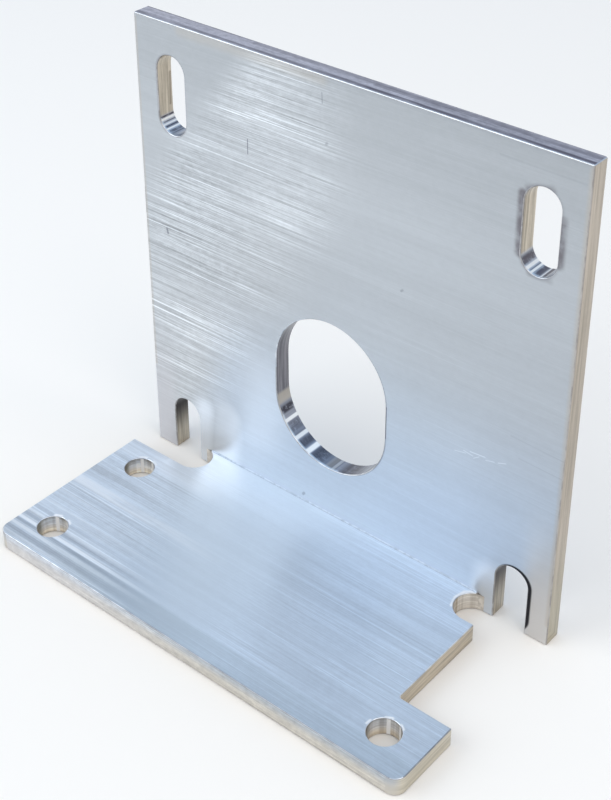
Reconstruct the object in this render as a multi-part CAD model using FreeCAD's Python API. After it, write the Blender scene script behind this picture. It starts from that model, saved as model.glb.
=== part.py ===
"""Motor mounting bracket: one piece of unequal aluminium angle with slots, holes and a shaft window.

Millimetres. +Z is up and the foot rests on z = 0. The angle was extruded along X. The origin is under
the middle of the part: x runs across the plate, and +Y points from the foot's front edge to the plate.
"""
import os

import FreeCAD
import Part

# Stock angle, cut to length
LENGTH = 100.0
PLATE_HEIGHT = 100.0
FOOT_DEPTH = 50.0
WALL = 4.0
INSIDE_FILLET = 0.3
FRONT_CORNER_RADIUS = 2.5
EDGE_BREAK = 0.2

# Motor screw slots, for M6 with clearance
SLOT_WIDTH = 7.0
SLOT_LAND_LEFT = 5.5
SLOT_LAND_RIGHT = 5.0
UPPER_SLOT_LAND = 6.7
UPPER_SLOT_TRAVEL = 9.5
LOWER_SLOT_REACH = 10.6

# Shaft window
WINDOW_WIDTH = 27.0
WINDOW_TRAVEL = 7.2
WINDOW_LAND = 11.3
WINDOW_SHIFT = -2.0

# Relief cuts along the inside corner, the notch and the tab it leaves
RELIEF_WIDTH = 7.5
RELIEF_LEFT = 18.1
RELIEF_PAST_NOTCH = 6.5
NOTCH_DEPTH = 11.25
NOTCH_CORNER_RADIUS = 0.5
TAB_BACK_LAND = 4.9

# Screw holes in the foot, for M6 with a close clearance
HOLE_DIAMETER = 6.2
HOLE_LAND_LEFT = 4.9
HOLE_LAND_RIGHT = 5.4
HOLE_LAND_FRONT = 4.4
HOLE_LAND_RELIEF = 3.4

# How far a cutting solid runs past the metal it cuts
OVERRUN = 1.0

LEFT = -LENGTH / 2
RIGHT = LENGTH / 2
FRONT = -FOOT_DEPTH / 2
BACK = FOOT_DEPTH / 2
PLATE_FACE = BACK - WALL

HOLE_RADIUS = HOLE_DIAMETER / 2
FRONT_HOLE_Y = FRONT + HOLE_LAND_FRONT + HOLE_RADIUS
REAR_HOLE_Y = PLATE_FACE - RELIEF_WIDTH - HOLE_LAND_RELIEF - HOLE_RADIUS
LEFT_HOLE_X = LEFT + HOLE_LAND_LEFT + HOLE_RADIUS
RIGHT_HOLE_X = RIGHT - HOLE_LAND_RIGHT - HOLE_RADIUS
NOTCH_X = RIGHT - NOTCH_DEPTH
TAB_BACK_Y = FRONT_HOLE_Y + HOLE_RADIUS + TAB_BACK_LAND


def box(x0, x1, y0, y1, z0, z1):
    """A block between two corners."""
    return Part.makeBox(x1 - x0, y1 - y0, z1 - z0, FreeCAD.Vector(x0, y0, z0))


def angle_section():
    """The extruded L: foot and plate with a small fillet in the inside corner."""
    foot = box(LEFT, RIGHT, FRONT, BACK, 0.0, WALL)
    plate = box(LEFT, RIGHT, PLATE_FACE, BACK, 0.0, PLATE_HEIGHT)
    corner = box(LEFT, RIGHT, PLATE_FACE - INSIDE_FILLET, PLATE_FACE, WALL, WALL + INSIDE_FILLET)
    round_off = Part.makeCylinder(
        INSIDE_FILLET,
        LENGTH,
        FreeCAD.Vector(LEFT, PLATE_FACE - INSIDE_FILLET, WALL + INSIDE_FILLET),
        FreeCAD.Vector(1, 0, 0),
    )
    return foot.fuse([plate, corner.cut(round_off)]).removeSplitter()


def upright_slot(x, width, z_low, z_high):
    """A slot through the plate between two end centres."""
    radius = width / 2
    y0 = PLATE_FACE - OVERRUN
    depth = WALL + 2 * OVERRUN
    across = FreeCAD.Vector(0, 1, 0)
    low = Part.makeCylinder(radius, depth, FreeCAD.Vector(x, y0, z_low), across)
    high = Part.makeCylinder(radius, depth, FreeCAD.Vector(x, y0, z_high), across)
    middle = box(x - radius, x + radius, y0, y0 + depth, z_low, z_high)
    return low.fuse([middle, high]).removeSplitter()


def open_slot(x, width, z_high):
    """A slot through the plate that is open at the plate's lower edge."""
    radius = width / 2
    y0 = PLATE_FACE - OVERRUN
    depth = WALL + 2 * OVERRUN
    high = Part.makeCylinder(radius, depth, FreeCAD.Vector(x, y0, z_high), FreeCAD.Vector(0, 1, 0))
    middle = box(x - radius, x + radius, y0, y0 + depth, -OVERRUN, z_high)
    return high.fuse(middle).removeSplitter()


def relief(x_open, x_end):
    """A slot down through the foot beside the plate, from its open side to its round inner end."""
    radius = RELIEF_WIDTH / 2
    z0 = -OVERRUN
    height = WALL + INSIDE_FILLET + 2 * OVERRUN
    inward = 1.0 if x_end > x_open else -1.0
    centre = x_end - inward * radius
    end = Part.makeCylinder(radius, height, FreeCAD.Vector(centre, PLATE_FACE - radius, z0))
    x_low = min(x_open, centre)
    x_high = max(x_open, centre)
    run = box(x_low, x_high, PLATE_FACE - RELIEF_WIDTH, PLATE_FACE, z0, z0 + height)
    return end.fuse(run).removeSplitter()


def relief_mouth(x_open, x_end):
    """The sloped edge round the top of a relief, which stops at the plate's face."""
    radius = RELIEF_WIDTH / 2
    z0 = WALL - EDGE_BREAK
    rise = EDGE_BREAK + INSIDE_FILLET + OVERRUN
    inward = 1.0 if x_end > x_open else -1.0
    centre = x_end - inward * radius
    funnel = Part.makeCone(radius, radius + rise, rise, FreeCAD.Vector(centre, PLATE_FACE - radius, z0))
    y_edge = PLATE_FACE - RELIEF_WIDTH
    corners = [
        FreeCAD.Vector(x_open, y_edge, z0),
        FreeCAD.Vector(x_open, y_edge - rise, z0 + rise),
        FreeCAD.Vector(x_open, PLATE_FACE, z0 + rise),
        FreeCAD.Vector(x_open, PLATE_FACE, z0),
    ]
    section = Part.Face(Part.makePolygon(corners + [corners[0]]))
    run = section.extrude(FreeCAD.Vector(centre - x_open, 0, 0))
    beside_plate = box(
        min(x_open, x_end) - LENGTH,
        max(x_open, x_end) + LENGTH,
        PLATE_FACE - RELIEF_WIDTH - 2 * rise,
        PLATE_FACE,
        z0,
        z0 + rise,
    )
    return funnel.fuse(run).common(beside_plate)


def notch():
    """The rectangular bite out of the foot's right side, behind the tab."""
    top = WALL + INSIDE_FILLET + OVERRUN
    bite = box(NOTCH_X, RIGHT + OVERRUN, TAB_BACK_Y, PLATE_FACE, -OVERRUN, top)
    corner = [
        e
        for e in bite.Edges
        if abs(e.Vertexes[0].X - NOTCH_X) < 1e-6
        and abs(e.Vertexes[1].X - NOTCH_X) < 1e-6
        and abs(e.Vertexes[0].Y - TAB_BACK_Y) < 1e-6
        and abs(e.Vertexes[1].Y - TAB_BACK_Y) < 1e-6
    ]
    return bite.makeFillet(NOTCH_CORNER_RADIUS, corner)


def front_corner(x_side, inward):
    """What a rounded front corner of the foot loses."""
    x_centre = x_side + inward * FRONT_CORNER_RADIUS
    y_centre = FRONT + FRONT_CORNER_RADIUS
    x_low = min(x_side - inward * OVERRUN, x_centre)
    x_high = max(x_side - inward * OVERRUN, x_centre)
    block = box(x_low, x_high, FRONT - OVERRUN, y_centre, -OVERRUN, WALL + OVERRUN)
    disc = Part.makeCylinder(
        FRONT_CORNER_RADIUS,
        WALL + 4 * OVERRUN,
        FreeCAD.Vector(x_centre, y_centre, -2 * OVERRUN),
    )
    return block.cut(disc)


def foot_hole(x, y):
    """A screw hole down through the foot."""
    return Part.makeCylinder(HOLE_RADIUS, WALL + 2 * OVERRUN, FreeCAD.Vector(x, y, -OVERRUN))


def cutters():
    """Everything cut out of the angle."""
    left_slot_x = LEFT + SLOT_LAND_LEFT + SLOT_WIDTH / 2
    right_slot_x = RIGHT - SLOT_LAND_RIGHT - SLOT_WIDTH / 2
    upper_high = PLATE_HEIGHT - UPPER_SLOT_LAND - SLOT_WIDTH / 2
    upper_low = upper_high - UPPER_SLOT_TRAVEL
    window_low = WALL + WINDOW_LAND + WINDOW_WIDTH / 2
    cut = []
    for x in (left_slot_x, right_slot_x):
        cut.append(upright_slot(x, SLOT_WIDTH, upper_low, upper_high))
        cut.append(open_slot(x, SLOT_WIDTH, LOWER_SLOT_REACH))
    cut.append(upright_slot(WINDOW_SHIFT, WINDOW_WIDTH, window_low, window_low + WINDOW_TRAVEL))
    for shape in (relief, relief_mouth):
        cut.append(shape(LEFT - OVERRUN, LEFT + RELIEF_LEFT))
        cut.append(shape(RIGHT + OVERRUN, NOTCH_X - RELIEF_PAST_NOTCH))
    cut.append(notch())
    cut.append(front_corner(LEFT, 1.0))
    cut.append(front_corner(RIGHT, -1.0))
    cut.append(foot_hole(LEFT_HOLE_X, FRONT_HOLE_Y))
    cut.append(foot_hole(LEFT_HOLE_X, REAR_HOLE_Y))
    cut.append(foot_hole(RIGHT_HOLE_X, FRONT_HOLE_Y))
    return cut


def square_outside_edges(solid):
    """The edges where two faces meet at an outside corner of about 90 degrees."""
    found = []
    for edge in solid.Edges:
        faces = solid.ancestorsOfType(edge, Part.Face)
        if len(faces) != 2:
            continue
        middle = edge.valueAt((edge.FirstParameter + edge.LastParameter) / 2)
        normals = []
        for face in faces:
            u, v = face.Surface.parameter(middle)
            normals.append(face.normalAt(u, v))
        if normals[0].dot(normals[1]) > 0.5:
            continue
        probe = middle + (normals[0] - normals[1]) * (EDGE_BREAK / 20)
        if not solid.isInside(probe, 1e-6, False):
            found.append(edge)
    return found


bracket = angle_section()
for tool in cutters():
    bracket = bracket.cut(tool)
bracket = bracket.removeSplitter().Solids[0]
bracket = bracket.makeChamfer(EDGE_BREAK, square_outside_edges(bracket))

os.makedirs("parts", exist_ok=True)
bracket.exportStep("parts/bracket.step")
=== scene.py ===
"""Studio view of a motor mounting bracket cut from drawn aluminium angle.

The bracket is one piece of metal with several finishes: the drawn faces and narrow edges with their long
fine lines, the sawn ends, the milled walls of its cut-outs, and the edges that a file has broken.
Lengths are metres, in the CAD part's frame: x runs across the plate, y from the foot's front edge to the
plate's back, and z up the plate. The finishes are worked out in millimetres.
"""
import math

import bpy
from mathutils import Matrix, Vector


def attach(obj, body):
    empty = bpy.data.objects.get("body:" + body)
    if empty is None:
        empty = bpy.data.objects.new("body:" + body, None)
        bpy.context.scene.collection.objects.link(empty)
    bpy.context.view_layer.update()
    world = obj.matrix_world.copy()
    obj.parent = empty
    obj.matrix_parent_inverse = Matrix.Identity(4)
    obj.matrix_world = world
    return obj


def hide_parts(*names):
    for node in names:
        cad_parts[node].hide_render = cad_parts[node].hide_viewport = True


MM = 0.001
MM_IN_A_METRE = 1000.0
MIX_COLOUR_INPUTS = (0, 6, 7)
MIX_COLOUR_OUTPUT = 2

# Camera, as the photograph was taken
PICTURE_WIDTH = 611
CAMERA_AZIMUTH = 39.92
CAMERA_ELEVATION = 30.21
CAMERA_ROLL = -0.204
CAMERA_AIM = Vector((-1.14, 13.02, 70.25)) * MM
CAMERA_DISTANCE = 275.3 * MM
FOCAL_PIXELS = 1551.2
AXIS_ROW = 246.9
MIDDLE_ROW = 400.0
SENSOR_WIDTH = 36.0

# Studio, with the sky's soft steps over how far up and how far back it is seen
FLOOR_HALF = 4.0
FLOOR_WHITE = (0.985, 0.945, 0.885)
FLOOR_ROUGHNESS = 0.9
SKY_FRONT = (0.78, 0.77, 0.77)
SKY_BACK = (0.56, 0.72, 0.94)
SKY_RISE = (0.0, 0.9)
SKY_TURN = (-0.5, 0.5, 0.25, 1.0)
LAMP_AIM = Vector((0.0, 0.0, 30.0)) * MM
WINDOW_LAMP_PLACE = (-0.42, -0.50, 0.40)
WINDOW_LAMP_SIZE = 0.60
WINDOW_LAMP_POWER = 2.0
WINDOW_LAMP_COLOUR = (0.86, 0.94, 1.02)
ROOM_LAMP_PLACE = (0.42, -0.05, 0.75)
ROOM_LAMP_SIZE = 0.50
ROOM_LAMP_POWER = 1.6
ROOM_LAMP_COLOUR = (1.0, 0.90, 0.78)

# Bracket, as the CAD part has it, in millimetres
HALF_LENGTH = 50.0
PLATE_FACE = 21.0
PLATE_BACK = 25.0
PLATE_TOP = 100.0
FOOT_TOP = 4.0
FOOT_FRONT = -25.0
INSIDE_FILLET = 0.3
CORNER_RADIUS = 2.5
WINDOW_MIDDLE = (-2.0, 32.4)
WINDOW_REACH = 20.0
WINDOW_ARC = (-2.0, 28.8, 13.5)
WINDOW_UPPER_ARC = (-2.0, 36.0, 13.5)
UPPER_LEFT_ARC = (-41.0, 80.3, 3.5)
UPPER_RIGHT_ARC = (41.5, 80.3, 3.5)
FOOT_HOLES = ((-42.0, -17.5), (-42.0, 7.0), (41.5, -17.5))
HOLE_RADIUS = 3.1
HOLE_REACH = 3.4
RELIEF_FRONT = 13.5
ARCH_TOP = 20.0

# How the shell is cleaned and its faces are told apart: gaps in millimetres, turns in degrees
MERGE_GAP = 0.002
PLACE_GAP = 0.02
WALL_GAP = 0.2
RIM_WIDTH = 0.25
FLAT_TURN = 0.5
SMOOTH_TURN = 60.0
ALONG_AXIS = 0.999
TOWARDS_AXIS = 0.5
ACROSS_AXIS = 0.02

# Marks on the plate's face: start and end in x and z, width, softness and strength, in millimetres
PLATE_DARK_MARKS_AND_HALOS = (
    ((-21.7, 79.0), (-21.7, 82.0), 0.05, 0.13, 0.65),
    ((-43.9, 54.1), (-44.1, 55.0), 0.12, 0.25, 0.60),
    ((-3.9, 94.6), (-4.0, 96.6), 0.05, 0.15, 0.35),
    ((-3.0, 86.9), (-2.8, 87.1), 0.05, 0.45, 0.35),
    ((14.3, 63.3), (14.6, 63.6), 0.10, 0.25, 0.35),
    ((33.0, 96.5), (49.0, 96.3), 0.02, 0.30, 0.12),
    ((39.0, 43.2), (50.0, 42.8), 0.02, 0.22, 0.14),
    ((41.0, 39.2), (50.0, 38.9), 0.02, 0.22, 0.12),
    ((-8.7, 5.4), (-8.4, 5.8), 0.15, 0.30, 0.45),
    ((-25.0, 99.9), (50.0, 99.9), 0.20, 0.90, 0.10),
    # The last three rows are painted dark reflections that hug the upper slots' and the window's rims
    ((41.5, 80.3), (41.5, 89.8), 3.40, 0.90, 0.35),
    ((-41.0, 80.3), (-41.0, 89.8), 3.40, 0.70, 0.45),
    ((-1.75, 28.8), (-1.75, 36.0), 13.45, 0.30, 0.60),
)
# Painted dark reflections: soft halos that hug the upper right slot's rims
PLATE_DARK_HALOS = (
    ((37.8, 80.0), (37.7, 91.0), 0.35, 1.00, 0.85),
    ((38.6, 92.2), (43.0, 93.3), 0.10, 1.10, 0.50),
    ((45.3, 80.5), (45.3, 88.5), 0.30, 1.20, 0.85),
    ((40.0, 76.9), (44.0, 76.9), 0.10, 0.90, 0.35),
)
# Painted black reflections round the lower right slot and along the window's right rim; a black line on the
# left edge
PLATE_BLACK_REFLECTION_LINES = (
    ((42.0, 3.6), (42.0, 10.8), 3.75, 0.40, 0.98),
    ((11.6, 29.5), (11.6, 36.5), 0.10, 0.28, 0.85),
    ((-50.0, 57.0), (-50.0, 62.5), 0.05, 0.40, 0.80),
)
# Painted highlights: soft light reflections on the plate beside the two lower slots
PLATE_PAINTED_HIGHLIGHTS = (
    ((-21.0, 18.0), (-19.0, 28.0), 0.50, 11.0, 0.26),
    ((-36.5, 0.0), (-35.5, 14.0), 0.60, 4.00, 0.75),
    ((-31.0, 5.0), (-29.0, 15.0), 1.50, 4.50, 0.52),
    ((36.4, 0.0), (36.6, 9.0), 1.00, 4.00, 0.50),
)
PLATE_BRIGHT_MARKS = (
    ((27.5, 34.4), (29.8, 34.9), 0.02, 0.14, 0.32),
    ((29.4, 35.3), (31.4, 35.0), 0.02, 0.14, 0.40),
    ((30.8, 35.7), (34.0, 36.0), 0.02, 0.15, 0.42),
    ((31.6, 34.6), (32.8, 35.5), 0.02, 0.12, 0.36),
    ((34.2, 35.4), (36.0, 35.9), 0.02, 0.13, 0.34),
    ((36.8, 36.1), (38.4, 36.7), 0.02, 0.14, 0.42),
)
PLATE_WARM_MARKS = (
    ((-38.0, 99.2), (-4.0, 99.2), 0.20, 1.80, 0.30),
    ((-49.6, 20.0), (-49.6, 99.0), 0.05, 0.50, 0.35),
    ((49.9, 5.0), (49.9, 99.0), 0.05, 1.00, 0.50),
)

# Marks on the foot's top, with start and end in x and y: light caught beside the holes, and a dull line
FOOT_BRIGHT_MARKS = (
    ((-44.2, 9.6), (-43.2, 10.3), 0.05, 0.55, 0.90),
    ((-41.0, 10.3), (-39.9, 9.8), 0.05, 0.50, 0.60),
    ((-44.0, -14.8), (-43.0, -14.3), 0.10, 0.55, 1.00),
    ((-40.8, -14.3), (-39.9, -14.8), 0.05, 0.50, 0.80),
    ((39.9, -14.8), (40.8, -14.3), 0.10, 0.50, 1.00),
    ((42.9, -14.5), (43.7, -15.0), 0.05, 0.45, 0.90),
    ((38.0, -17.9), (38.1, -16.9), 0.05, 0.35, 0.70),
    ((34.0, 20.9), (32.4, 19.6), 0.05, 0.55, 0.75),
    ((32.4, 19.6), (31.9, 17.3), 0.05, 0.55, 0.85),
    ((31.9, 17.3), (32.6, 15.0), 0.05, 0.50, 0.70),
)
FOOT_DARK_MARKS = (
    ((-50.0, 12.9), (-40.0, 12.9), 0.30, 0.80, 0.12),
)

# Bands along the foot's left half: y at its left end, width, softness and strength
FOOT_PALE_BANDS = (
    (-3.5, 0.50, 1.30, 0.72),
    (-5.6, 0.05, 0.35, 0.25),
    (-8.3, 0.05, 0.35, 0.18),
    (-12.4, 0.05, 0.35, 0.32),
    (-16.7, 0.15, 0.50, 0.36),
    (-19.2, 0.15, 0.45, 0.95),
    (-21.3, 0.15, 0.50, 0.60),
    (-24.0, 0.10, 0.40, 0.60),
)
FOOT_DULL_BANDS = (
    (-6.9, 0.10, 0.60, 0.10),
    (-11.5, 0.10, 0.35, 0.16),
    (-15.1, 0.20, 0.60, 0.26),
    (-17.9, 0.15, 0.45, 0.34),
    (-20.2, 0.20, 0.45, 0.55),
    (-22.8, 0.25, 0.65, 0.30),
)
FOOT_BAND_DRIFT = 0.3

# Dull marks on the top edge, in x and y: lines along it and a short dark mark at its back. The front edge's,
# in x and z
TOP_EDGE_MARKS = (
    ((-50.0, 21.75), (50.0, 21.75), 0.15, 0.50, 0.66),
    ((-5.0, 21.75), (50.0, 21.75), 0.15, 0.55, 0.86),
    ((-50.0, 24.9), (50.0, 24.9), 0.05, 0.60, 0.45),
    ((-22.0, 24.1), (20.0, 24.1), 0.30, 0.60, 0.36),
    ((6.0, 23.8), (50.0, 23.8), 0.30, 0.75, 0.54),
    ((15.0, 22.8), (50.0, 22.8), 0.30, 0.80, 0.14),
    ((-19.5, 25.0), (-15.5, 25.0), 0.05, 0.40, 0.95),
)
FRONT_EDGE_MARKS = (
    ((-50.0, 0.2), (50.0, 0.2), 0.05, 0.45, 0.20),
)

# A brown streak up the inside of the upper left slot, with start and end in x, y and z
SLOT_STREAK = (
    ((-44.5, 24.2, 81.5), (-44.5, 24.4, 88.0), 0.10, 0.35, 0.55),
)

# Painted reflections, as bands across the walls' lower arcs: degrees round the arc from its left side,
# half width in degrees and strength. Each has a full core and a soft edge, as shares of its half width
UPPER_LEFT_DARK = (
    (15.0, 3.0, 0.90), (32.5, 2.0, 0.75), (48.5, 2.2, 0.85), (69.0, 5.0, 0.75), (80.0, 3.0, 0.55),
)
UPPER_LEFT_BRIGHT = ((23.5, 3.2, 1.00), (40.5, 2.6, 0.80), (57.0, 2.8, 1.00))
UPPER_RIGHT_DARK = ((31.0, 12.0, 0.78), (62.0, 1.0, 0.55), (85.0, 9.0, 0.85), (107.0, 5.0, 0.80))
UPPER_RIGHT_BRIGHT = ((52.0, 5.0, 1.00), (68.0, 3.5, 0.95), (99.0, 2.0, 0.60))
WINDOW_DARK = (
    (23.5, 3.2, 0.90), (40.5, 4.5, 0.50), (57.0, 3.5, 0.42), (76.0, 6.0, 0.60), (112.0, 13.0, 0.45),
)
WINDOW_BRIGHT = ((33.0, 1.6, 1.00), (50.0, 1.8, 0.90), (65.0, 2.4, 1.00), (93.0, 1.5, 0.35))
WINDOW_WARM = ((12.0, 5.0, 0.80), (88.0, 3.0, 0.35))
BAND_CORE = 0.6
BAND_EDGE = 0.8

# Light along the fronts of arcs: the first and last degrees from the left side, and strength
UPPER_LEFT_GLINT = (20.0, 110.0, 0.65)
UPPER_RIGHT_GLINT = (50.0, 115.0, 0.65)
WINDOW_GLINT = (28.0, 98.0, 0.75)
WINDOW_RIM_GLINT = (-62.0, 8.0, 0.85)
GLINT_STEPS = 5
GLINT_WIDTH = 0.2
GLINT_SOFTNESS = 0.5

# Painted reflections, as light streaks down the holes' walls: degrees round each hole for a strong one and
# a weak one. The dark ones, painted shade, are at the same degrees in each hole, and the last three numbers
# are width, softness and strength
HOLE_STREAKS = ((121.0, 70.0), (125.0, 74.0), (112.0, 62.0))
STREAK_WIDTHS = (0.26, 0.20)
STREAK_STRENGTHS = (1.00, 0.90)
STREAK_SOFTNESS = 0.2
HOLE_SHADES = (205.0, 30.0)
HOLE_SHADE_SHAPE = (0.4, 1.3, 0.7)

# Noise: how long its grains are in x, y and z, in millimetres, its detail, its roughness and where it starts
FINE_LINES = ((30.0, 0.34, 0.34), 3.0, 0.7, 0.0)
BROAD_LINES = ((75.0, 2.6, 2.6), 2.0, 0.5, 7.3)
LONE_LINES = ((36.0, 0.27, 0.27), 1.0, 0.4, 21.9)
LINE_FIELDS = ((30.0, 5.0, 5.0), 1.0, 0.5, 55.0)
METAL_CLOUDS = ((1.6, 0.9, 0.9), 4.0, 0.7, 14.0)
PLATE_WALL_STRIPES = ((9.0, 0.5, 16.0), 3.0, 0.6, 3.0)
FOOT_WALL_STRIPES = ((16.0, 16.0, 0.6), 3.0, 0.6, 8.0)
WALL_BANDS = ((1.0, 1.0, 1.0), 2.0, 0.5, 40.0)
PLATE_FIELDS = ((26.0, 9.0, 9.0), 1.0, 0.5, 3.1)
# Breaks up the painted dark reflections round the upper right slot
HALO_BREAKS = ((2.6, 2.6, 3.4), 3.0, 0.6, 71.0)
BAND_BREAKS = ((30.0, 2.5, 2.5), 2.0, 0.6, 62.0)
TOP_EDGE_WEAR = ((12.0, 2.0, 2.0), 3.0, 0.6, 47.0)
SAWN_STRIPES = ((24.0, 0.8, 9.0), 3.0, 0.6, 0.0)
CORNER_SPECKS = ((1.3, 0.8, 0.8), 2.0, 0.6, 30.0)
EDGE_FILING = ((3.0, 3.0, 3.0), 3.0, 0.6, 11.0)
RIM_FILING = ((2.2, 2.2, 2.2), 3.0, 0.6, 26.0)

# Soft steps on that noise: where each begins and ends, then its value before and after if not 0 and 1
LONE_LINES_STEP = (0.56, 0.70)
LINE_FIELDS_STEP = (0.38, 0.58)
WALL_STRIPES_STEP = (0.3, 0.7)
WALL_BANDS_STEP = (0.36, 0.64)
PLATE_FIELDS_STEP = (0.35, 0.62, 0.5, 1.0)
# Step on the noise that breaks up the painted dark reflections
HALO_BREAKS_STEP = (0.34, 0.62, 0.50, 1.0)
BAND_BREAKS_STEP = (0.32, 0.54, 0.3, 1.0)
TOP_EDGE_STEP = (0.34, 0.56, 0.55, 1.0)
SAWN_STEP = (0.25, 0.75)
SLOT_MOTTLE_STEP = (0.36, 0.52, 0.55, 1.0)
WINDOW_MOTTLE_STEP = (0.36, 0.54, 0.15, 1.0)
SPECKS_STEP = (0.38, 0.60)
EDGE_STEP = (0.3, 0.7)
RIM_STEP = (0.35, 0.65)

# Soft steps on the way that a face looks
WALL_TURNS_UP = (0.06, 0.30)
EDGE_LOOKS_UP = (0.1, 0.5)
EDGE_LOOKS_LEFT = (-0.5, -0.1, 1.0, 0.0)
RIM_LOOKS_UP = (0.2, 0.6)
SAWN_LOOKS_FORWARD = (-0.98, -0.30, 0.9, 0.0)

# Slanted borders across a face: how far x moves for each millimetre of z or y, and x where that is nought
PLATE_LINES_BORDER = (0.55, -43.75)
PLATE_LINES_END = -3.0
PLATE_CORNER_BORDER = (0.9, -108.0)
PLATE_MARGIN_BORDER = (0.6, -83.0)
PLATE_LESS_LIT_BORDER = (-0.3, 17.1)
FOOT_LINES_BORDER = (-0.32, -28.0)

# Soft steps along x, y or z, or past a slanted border, in millimetres
PLATE_LEFT_OF_BORDER = (-14.0, 9.0, 1.0, 0.0)
PLATE_PAST_CORNER = (-6.0, 4.0)
PLATE_PAST_MARGIN = (-7.0, 6.0, 0.2, 1.0)
PLATE_ABOVE_FOOT = (10.0, 24.0, 0.45, 1.0)
PLATE_QUIET = (74.0, 99.0, 0.40, 0.29)
LESS_LIT_ABOVE = (40.0, 52.0)
LESS_LIT_LEFT = (-30.0, -12.0, 1.0, 0.0)
BLUE_BELOW = (14.0, 54.0, 1.0, 0.0)
BLUE_RIGHT = (-38.0, -24.0)
WINDOW_SIDE_LEFT = (0.0, 12.0)
WINDOW_SIDE_RIGHT = (26.0, 40.0, 1.0, 0.0)
WINDOW_SIDE_BELOW = (34.0, 58.0, 1.0, 0.0)
EAR_OUTSIDE = (42.0, 46.5, 0.0, 0.9)
EAR_BELOW = (4.0, 34.0, 1.0, 0.0)
FOOT_LEFT_OF_BORDER = (-9.0, 9.0, 1.0, 0.0)
FOOT_LINES_RIGHT = (-6.0, 14.0, 0.0, 0.32)
FOOT_QUIET = (-24.0, 2.0, 0.62, 0.60)
TOWARDS_PLATE = (5.0, 21.0, 0.0, 0.26)
TOWARDS_PLATE_LEFT = (-8.0, 16.0, 1.0, 0.45)
FOOT_BLUE_RIGHT = (-10.0, 16.0)
BESIDE_PLATE = (17.8, 20.8)
BESIDE_PLATE_RIGHT = (-16.0, 6.0)
FRONT_STRIP = (-20.4, -19.4, 1.0, 0.0)
FRONT_STRIP_RIGHT = (-38.0, -26.0, 0.35, 1.0)
BY_RELIEF = (6.5, 10.5, 0.0, 0.34)
BY_RELIEF_LEFT = (-30.0, -18.0, 1.0, 0.0)
FOOT_BANDS_LEFT = (-38.0, -6.0, 1.0, 0.0)
FRONT_EDGE_RIGHT = (-40.0, 14.0)
FRONT_EDGE_ABOVE = (1.5, 3.9)
SAWN_ON_PLATE = (20.0, 21.0)
SAWN_BELOW = (6.0, 28.0, 1.0, 0.0)
HOLES_RIGHT = (-10.0, 10.0)
HOLES_BELOW = (0.4, 2.6, 1.0, 0.0)
# Painted shade under the open slots' arches, rising towards them
ARCH_SHADE_ABOVE = (2.0, 11.0, 0.0, 0.97)
EDGE_FOOT_RIGHT = (-28.0, -8.0)
EDGE_ABOVE = (20.0, 60.0)

# Values that follow another value in a straight line: gain and start. Then single shares and strengths
PLATE_STRENGTH = (0.95, 0.05)
# How much painted sheen lies on the plate's lit lines, less where it is less lit
PAINTED_SHEEN_SHARE = (-0.16, 0.21)
FOOT_BANDS_GAIN = (0.60, 0.10)
SAWN_ROUGHNESS = (-0.12, 0.48)
GLINT_METALLIC = (-0.7, 1.0)
FOOT_LEAST_STRENGTH = 0.08
LEAST_GRAIN = 0.06
LINES_POLISH = -0.30
WALL_GRAIN = 0.35
SAWN_GRAIN = 0.3
NOISE_MIDDLE = 0.5

# Width of the bands across each kind of cut wall, in millimetres
SLOT_BAND_WIDTH = 1.4
WINDOW_BAND_WIDTH = 1.8
HOLE_BAND_WIDTH = 1.2

# How strongly each drawn face shows its lines, and the colours that they run between
PLATE_SATIN = {
    "Fine Gain": 2.0, "Bands Gain": 0.09, "Bright Gain": 0.60, "Grain Gain": 0.50, "Roughness": 0.40,
    "Dark": (0.226, 0.238, 0.25), "Light": (0.905, 0.952, 1.0),
}
# The foot's colours are bluer, a painted reflection of the sky
FOOT_SATIN = {
    "Fine Gain": 0.95, "Bright Gain": 0.38, "Grain Gain": 0.35, "Roughness": 0.38,
    "Dark": (0.213, 0.230, 0.248), "Light": (0.85, 0.92, 0.99),
}
TOP_SATIN = {
    "Strength": 0.4, "Quiet": 0.37, "Fine Gain": 2.2, "Bands Gain": 0.45, "Bright Gain": 0.50,
    "Grain Gain": 1.80, "Roughness": 0.35, "Dark": (0.235, 0.228, 0.26), "Light": (0.95, 0.92, 1.0),
}
FRONT_SATIN = {
    "Strength": 0.4, "Quiet": 0.515, "Fine Gain": 1.3, "Bands Gain": 0.35, "Bright Gain": 0.50,
    "Grain Gain": 1.40, "Roughness": 0.42, "Dark": (0.25, 0.245, 0.235), "Light": (1.0, 0.98, 0.93),
}
ANISOTROPY = 0.8
LINES_DIRECTION = (1.0, 0.0, 0.0)
BUMP_STRENGTH = 0.35
BUMP_DISTANCE = 0.0002

# How rough the other finishes are. The sawn ends' own follows their stripes
SAWN_START_ROUGHNESS = 0.42
MILLED_ROUGHNESS = 0.28
BORED_ROUGHNESS = 0.3
CORNER_ROUGHNESS = 0.6
FILED_ROUGHNESS = 0.3

# Colours that a finish runs between, from dark to light, from left to right or from low to high
# Front edge tints, painted reflections: cool from the sky along its top, warm from the floor below
FRONT_EDGE_LOW = ((0.99, 1.00, 1.05), (1.01, 0.99, 0.955))
FRONT_EDGE_HIGH = ((0.98, 1.06, 1.22), (0.76, 0.84, 0.96))
# Painted light on the foot beside the plate
CORNER_LIGHT_TINTS = ((1.02, 1.02, 1.01), (1.12, 1.12, 1.11))
# Painted reflection of the floor on the ears' lower parts
EAR_FLOOR_REFLECTIONS = ((0.60, 0.60, 0.63), (0.66, 0.64, 0.62))
# Sawn ends: warm, partly a painted reflection of the floor; ends that look forward take painted reflections
SAWN = ((0.415, 0.368, 0.305), (0.612, 0.541, 0.46))
SAWN_FRONT_REFLECTIONS = ((0.62, 0.60, 0.56), (0.47, 0.51, 0.56))
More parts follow.
